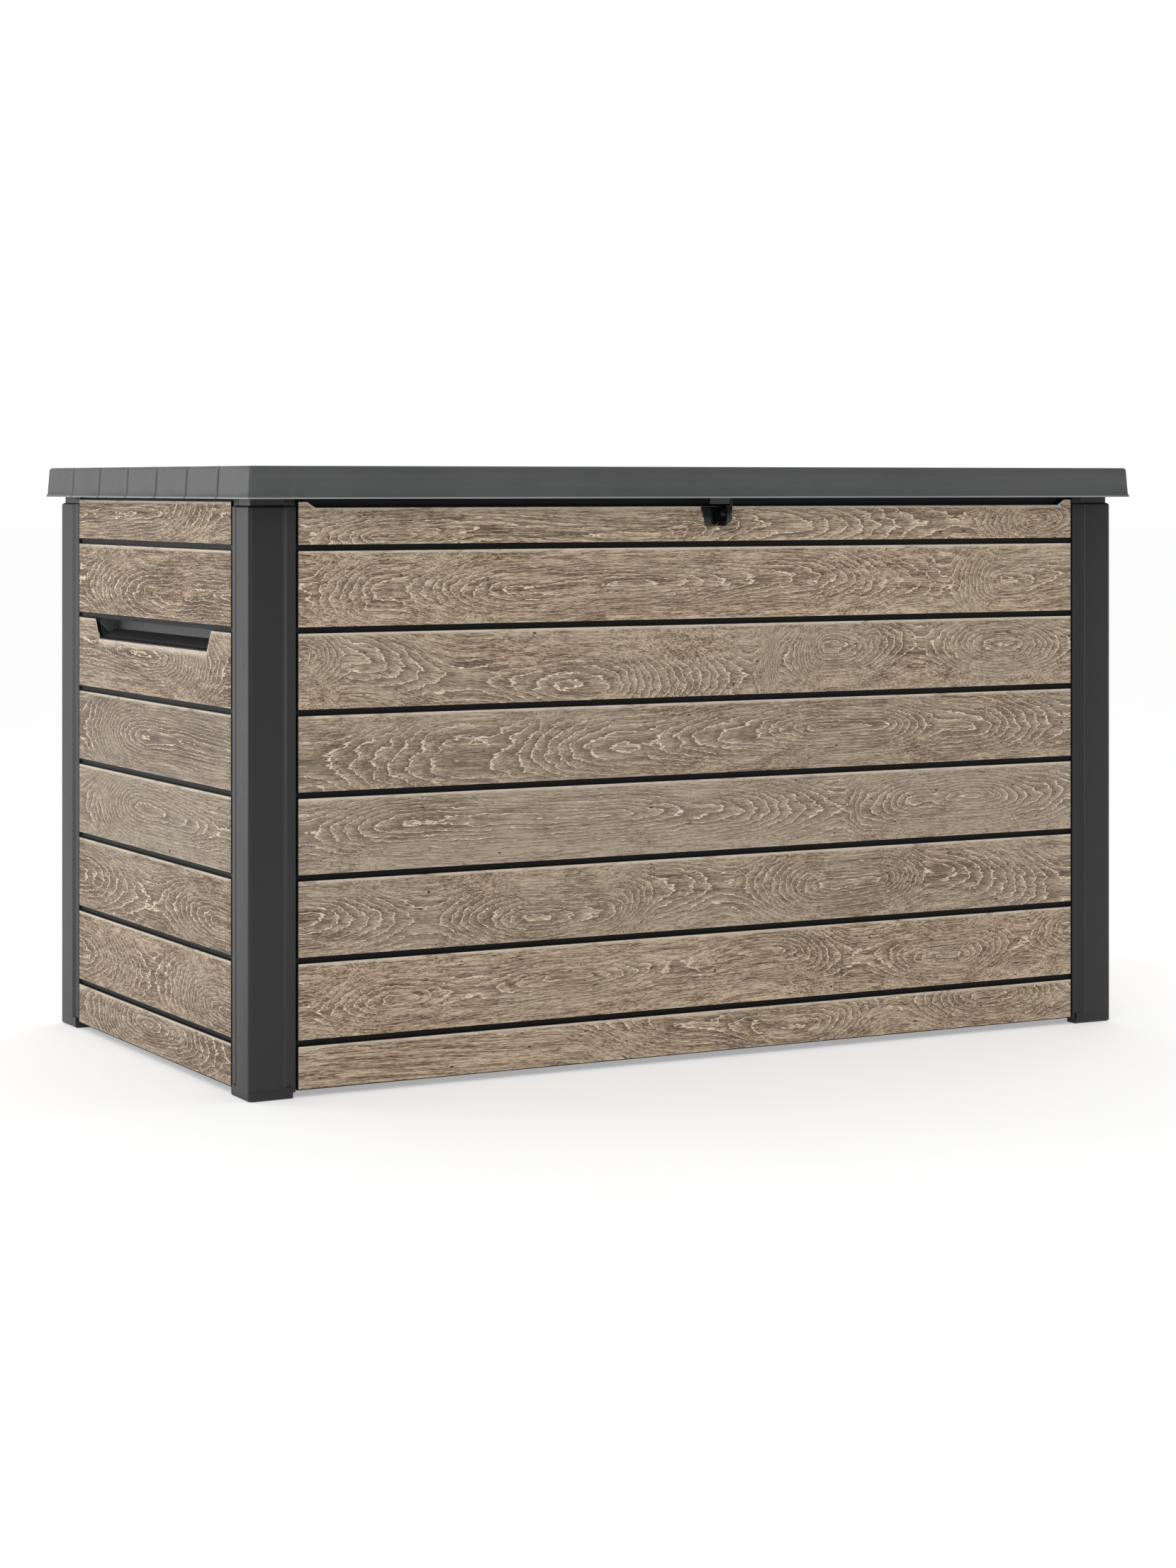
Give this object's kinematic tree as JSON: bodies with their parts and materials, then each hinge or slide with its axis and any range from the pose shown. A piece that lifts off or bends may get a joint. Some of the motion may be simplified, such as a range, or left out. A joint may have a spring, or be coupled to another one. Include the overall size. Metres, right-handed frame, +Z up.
{
  "type": "deck storage box",
  "caption": "Free-standing resin deck box with wood-look board walls, dark corner posts and a flat plank-pattern lid that lifts on rear hinges with gas struts.",
  "frame": {"origin": "on the ground under the middle of the lid", "axes": "+X along the length to the right seen from the front, +Y from the front to the rear, +Z up"},
  "size_m": [1.471, 0.825, 0.86],
  "materials": {
    "graphite_plastic": "fine-textured dark grey moulded resin",
    "liner_plastic": "plain dark grey moulded resin",
    "wood_look_plastic": "weathered oak print with raised grain on moulded resin, near-black seams",
    "cup_plastic": "dark grey moulded resin",
    "black_gloss_plastic": "gloss black",
    "black_tube": "black enamelled steel tube",
    "bright_steel": "bright ground steel",
    "zinc_steel": "zinc-plated steel"
  },
  "bodies": {
    "box": {"corner_post_front_left": "graphite_plastic", "corner_post_front_right": "graphite_plastic", "corner_post_rear_left": "graphite_plastic", "corner_post_rear_right": "graphite_plastic", "floor_panel": "liner_plastic", "front_panel": "wood_look_plastic", "handle_cup_left": "cup_plastic", "handle_cup_right": "cup_plastic", "hinge_pin_left": "bright_steel", "hinge_pin_middle": "bright_steel", "hinge_pin_right": "bright_steel", "hinge_wall_leaf_left": "zinc_steel", "hinge_wall_leaf_middle": "zinc_steel", "hinge_wall_leaf_right": "zinc_steel", "hinge_wall_screw_left_1": "zinc_steel", "hinge_wall_screw_left_2": "zinc_steel", "hinge_wall_screw_middle_1": "zinc_steel", "hinge_wall_screw_middle_2": "zinc_steel", "hinge_wall_screw_right_1": "zinc_steel", "hinge_wall_screw_right_2": "zinc_steel", "latch_keeper": "black_gloss_plastic", "latch_screw_1": "zinc_steel", "latch_screw_2": "zinc_steel", "left_panel": "wood_look_plastic", "rear_panel": "wood_look_plastic", "right_panel": "wood_look_plastic", "strut_left_wall_bracket": "zinc_steel", "strut_left_wall_stud": "bright_steel", "strut_right_wall_bracket": "zinc_steel", "strut_right_wall_stud": "bright_steel"},
    "lid": {"hinge_lid_leaf_left": "zinc_steel", "hinge_lid_leaf_middle": "zinc_steel", "hinge_lid_leaf_right": "zinc_steel", "hinge_lid_screw_left_1": "zinc_steel", "hinge_lid_screw_left_2": "zinc_steel", "hinge_lid_screw_middle_1": "zinc_steel", "hinge_lid_screw_middle_2": "zinc_steel", "hinge_lid_screw_right_1": "zinc_steel", "hinge_lid_screw_right_2": "zinc_steel", "latch_tongue": "black_gloss_plastic", "lid_cover": "graphite_plastic", "lid_liner": "liner_plastic", "strut_left_lid_bracket": "zinc_steel", "strut_left_lid_stud": "bright_steel", "strut_right_lid_bracket": "zinc_steel", "strut_right_lid_stud": "bright_steel"},
    "strut_left_cylinder": {"strut_left_cylinder": "black_tube", "strut_left_lower_socket": "black_gloss_plastic", "strut_left_rod_guide": "black_gloss_plastic"},
    "strut_left_rod": {"strut_left_piston": "bright_steel", "strut_left_rod": "bright_steel", "strut_left_upper_socket": "black_gloss_plastic"},
    "strut_right_cylinder": {"strut_right_cylinder": "black_tube", "strut_right_lower_socket": "black_gloss_plastic", "strut_right_rod_guide": "black_gloss_plastic"},
    "strut_right_rod": {"strut_right_piston": "bright_steel", "strut_right_rod": "bright_steel", "strut_right_upper_socket": "black_gloss_plastic"}
  },
  "joints": [
    {"name": "lid_hinge", "type": "hinge", "parent": "box", "child": "lid", "pos_m": [0, 0.394, 0.805], "axis": [-1, 0, 0], "range_deg": [0, 80]},
    {"name": "strut_left_base", "type": "hinge", "parent": "box", "child": "strut_left_cylinder", "pos_m": [-0.668, 0.25341, 0.50645], "axis": [-1, 0, 0], "range_deg": [0, 40]},
    {"name": "strut_left_top", "type": "hinge", "parent": "lid", "child": "strut_left_rod", "pos_m": [-0.668, 0.06407, 0.812], "axis": [-1, 0, 0], "range_deg": [-40, 0]},
    {"name": "strut_right_base", "type": "hinge", "parent": "box", "child": "strut_right_cylinder", "pos_m": [0.668, 0.25341, 0.50645], "axis": [-1, 0, 0], "range_deg": [0, 40]},
    {"name": "strut_right_top", "type": "hinge", "parent": "lid", "child": "strut_right_rod", "pos_m": [0.668, 0.06407, 0.812], "axis": [-1, 0, 0], "range_deg": [-40, 0]}
  ],
  "couplings": [
    {"joint": "strut_left_base", "follows": "lid_hinge", "ratio": 0.5},
    {"joint": "strut_left_top", "follows": "lid_hinge", "ratio": -0.5},
    {"joint": "strut_right_base", "follows": "lid_hinge", "ratio": 0.5},
    {"joint": "strut_right_top", "follows": "lid_hinge", "ratio": -0.5}
  ]
}
